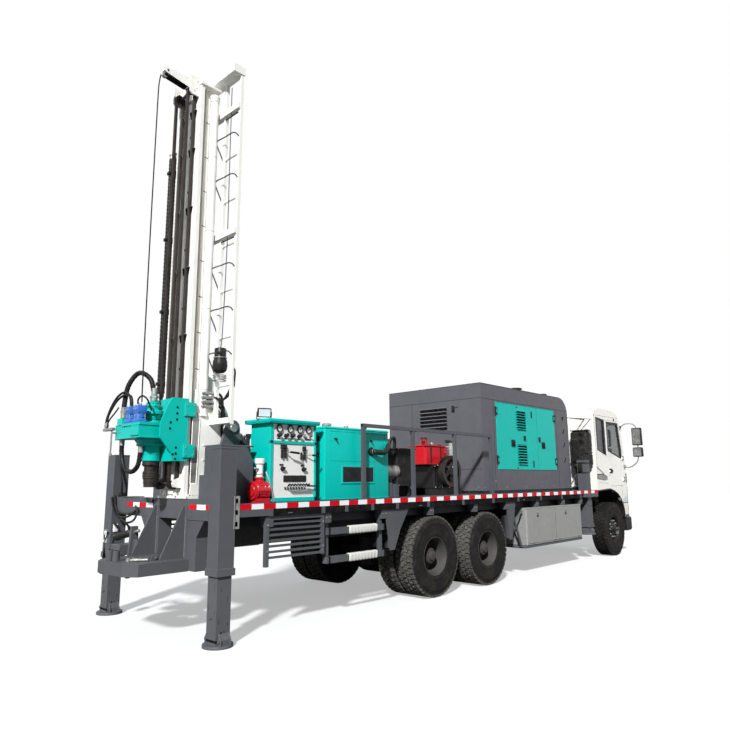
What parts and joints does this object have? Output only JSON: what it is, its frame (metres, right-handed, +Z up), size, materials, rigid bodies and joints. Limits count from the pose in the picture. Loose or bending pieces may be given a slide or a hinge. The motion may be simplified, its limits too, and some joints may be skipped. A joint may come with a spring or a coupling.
{
  "type": "reverse circulation drilling rig",
  "caption": "Truck-mounted reverse circulation drilling rig with a tilting mast, sliding rotary head, jacks, compressor hood and cab.",
  "frame": {"origin": "on the ground, in the middle of the rig's length and width", "axes": "+X from the drill mast to the cab, +Y to the rig's left, +Z up"},
  "size_m": [11.485, 3.26, 6.54],
  "materials": {
    "frame_grey": "satin paint",
    "axle_black": "matt paint",
    "iron": "oily",
    "box_silver": "metallic paint",
    "teal": "gloss paint",
    "red": "gloss paint",
    "canopy_grey": "satin paint",
    "cab_white": "gloss paint",
    "black": "matt",
    "glass": "clear",
    "mast_white": "satin paint",
    "blue": "gloss paint",
    "rubber": "matt",
    "steel": "bright",
    "tyre": "matt"
  },
  "bodies": {
    "truck": {"chassis_frame": "frame_grey", "deck": "frame_grey", "underframe": "frame_grey", "guard_rail_right": "frame_grey", "guard_rail_left": "frame_grey", "rear_frame": "frame_grey", "rear_platform": "frame_grey", "front_jack_frame": "frame_grey", "front_axle": "axle_black", "rear_bogie": "axle_black", "fuel_tank": "axle_black", "filter_unit": "axle_black", "air_cleaner": "axle_black", "truck_engine": "iron", "canopy_machine": "iron", "toolbox": "box_silver", "control_console": "teal", "hydraulic_tank": "teal", "aux_engine": "red", "mud_pump": "red", "canopy": "canopy_grey", "cab_shell": "cab_white", "cab_interior": "black", "front_bumper": "black", "mirror_right": "black", "mirror_left": "black", "windscreen": "glass"},
    "knuckle_right": {"knuckle_right": "axle_black"},
    "knuckle_left": {"knuckle_left": "axle_black"},
    "wheel_front_right": {"wheel_front_right": "tyre"},
    "wheel_front_left": {"wheel_front_left": "tyre"},
    "wheel_middle_right": {"wheel_middle_right": "tyre"},
    "wheel_middle_left": {"wheel_middle_left": "tyre"},
    "wheel_rear_right": {"wheel_rear_right": "tyre"},
    "wheel_rear_left": {"wheel_rear_left": "tyre"},
    "mast": {"mast": "mast_white", "ladder": "mast_white", "crown": "mast_white", "feed_chains": "iron", "hose_bundle": "black"},
    "head": {"head_carriage": "teal", "head_gearbox": "teal", "drive_motors": "blue", "inlet_hose": "rubber", "return_hose": "rubber"},
    "spindle": {"spindle": "iron"},
    "raise_barrels": {"raise_barrels": "frame_grey"},
    "raise_rods": {"raise_rods": "steel"},
    "flywheel": {"engine_flywheel": "axle_black"},
    "cab_door_right": {"cab_door_right": "cab_white"},
    "cab_door_left": {"cab_door_left": "cab_white"},
    "canopy_door_rear": {"canopy_door_rear": "teal"},
    "canopy_door_front": {"canopy_door_front": "teal"},
    "rear_jack_right": {"rear_jack_right": "frame_grey"},
    "rear_jack_left": {"rear_jack_left": "frame_grey"},
    "front_jack_right": {"front_jack_right": "frame_grey"},
    "front_jack_left": {"front_jack_left": "frame_grey"}
  },
  "joints": [
    {"name": "steer_right", "type": "hinge", "parent": "truck", "child": "knuckle_right", "pos_m": [4.682, -0.855, 0.5425], "axis": [0, 0, 1], "range_deg": [-30, 30]},
    {"name": "spin_front_right", "type": "hinge", "parent": "knuckle_right", "child": "wheel_front_right", "pos_m": [4.682, -1.085, 0.5425], "axis": [0, 1, 0], "continuous": true},
    {"name": "spin_middle_right", "type": "hinge", "parent": "truck", "child": "wheel_middle_right", "pos_m": [-0.2215, -1.095, 0.5425], "axis": [0, 1, 0], "continuous": true},
    {"name": "spin_rear_right", "type": "hinge", "parent": "truck", "child": "wheel_rear_right", "pos_m": [-1.5565, -1.095, 0.5425], "axis": [0, 1, 0], "continuous": true},
    {"name": "open_cab_right", "type": "hinge", "parent": "truck", "child": "cab_door_right", "pos_m": [5.458, -1.2123, 1.26], "axis": [0, 0, 1], "range_deg": [0, 70]},
    {"name": "rear_jack_right", "type": "slide", "parent": "truck", "child": "rear_jack_right", "axis": [0, 0, 1], "range_m": [0, 0.52]},
    {"name": "front_jack_right", "type": "slide", "parent": "truck", "child": "front_jack_right", "axis": [0, 0, 1], "range_m": [-0.48, 0]},
    {"name": "steer_left", "type": "hinge", "parent": "truck", "child": "knuckle_left", "pos_m": [4.682, 0.855, 0.5425], "axis": [0, 0, 1], "range_deg": [-30, 30]},
    {"name": "spin_front_left", "type": "hinge", "parent": "knuckle_left", "child": "wheel_front_left", "pos_m": [4.682, 1.085, 0.5425], "axis": [0, 1, 0], "continuous": true},
    {"name": "spin_middle_left", "type": "hinge", "parent": "truck", "child": "wheel_middle_left", "pos_m": [-0.2215, 1.095, 0.5425], "axis": [0, 1, 0], "continuous": true},
    {"name": "spin_rear_left", "type": "hinge", "parent": "truck", "child": "wheel_rear_left", "pos_m": [-1.5565, 1.095, 0.5425], "axis": [0, 1, 0], "continuous": true},
    {"name": "open_cab_left", "type": "hinge", "parent": "truck", "child": "cab_door_left", "pos_m": [5.458, 1.2123, 1.26], "axis": [0, 0, -1], "range_deg": [0, 70]},
    {"name": "rear_jack_left", "type": "slide", "parent": "truck", "child": "rear_jack_left", "axis": [0, 0, 1], "range_m": [0, 0.52]},
    {"name": "front_jack_left", "type": "slide", "parent": "truck", "child": "front_jack_left", "axis": [0, 0, 1], "range_m": [-0.48, 0]},
    {"name": "mast_tilt", "type": "hinge", "parent": "truck", "child": "mast", "pos_m": [-4.565, -0.28, 2.18], "axis": [0, 1, 0], "range_deg": [0, 90]},
    {"name": "raise_swing", "type": "hinge", "parent": "truck", "child": "raise_barrels", "pos_m": [-3.865, -0.28, 1.45], "axis": [0, 1, 0], "range_deg": [0, 20.6]},
    {"name": "raise_stroke", "type": "slide", "parent": "raise_barrels", "child": "raise_rods", "axis": [-0.5703, 0, 0.8215], "range_m": [-0.576, 0]},
    {"name": "head_feed", "type": "slide", "parent": "mast", "child": "head", "axis": [0, 0, 1], "range_m": [-0.25, 3.45]},
    {"name": "spindle_spin", "type": "hinge", "parent": "head", "child": "spindle", "pos_m": [-5.355, -0.28, 1.525], "axis": [0, 0, 1], "continuous": true},
    {"name": "flywheel_spin", "type": "hinge", "parent": "truck", "child": "flywheel", "pos_m": [-0.735, -0.92, 1.7103], "axis": [0, 1, 0], "continuous": true},
    {"name": "open_hood_rear", "type": "hinge", "parent": "truck", "child": "canopy_door_rear", "pos_m": [0.527, -1.0123, 1.745], "axis": [0, 0, -1], "range_deg": [0, 105]},
    {"name": "open_hood_front", "type": "hinge", "parent": "truck", "child": "canopy_door_front", "pos_m": [2.679, -1.0123, 1.745], "axis": [0, 0, 1], "range_deg": [0, 105]}
  ],
  "couplings": [
    {"joint": "steer_right", "follows": "steer_left", "ratio": 1},
    {"joint": "raise_swing", "follows": "mast_tilt", "ratio": 0.22889},
    {"joint": "raise_stroke", "follows": "mast_tilt", "m_per_rad": -0.36669}
  ]
}
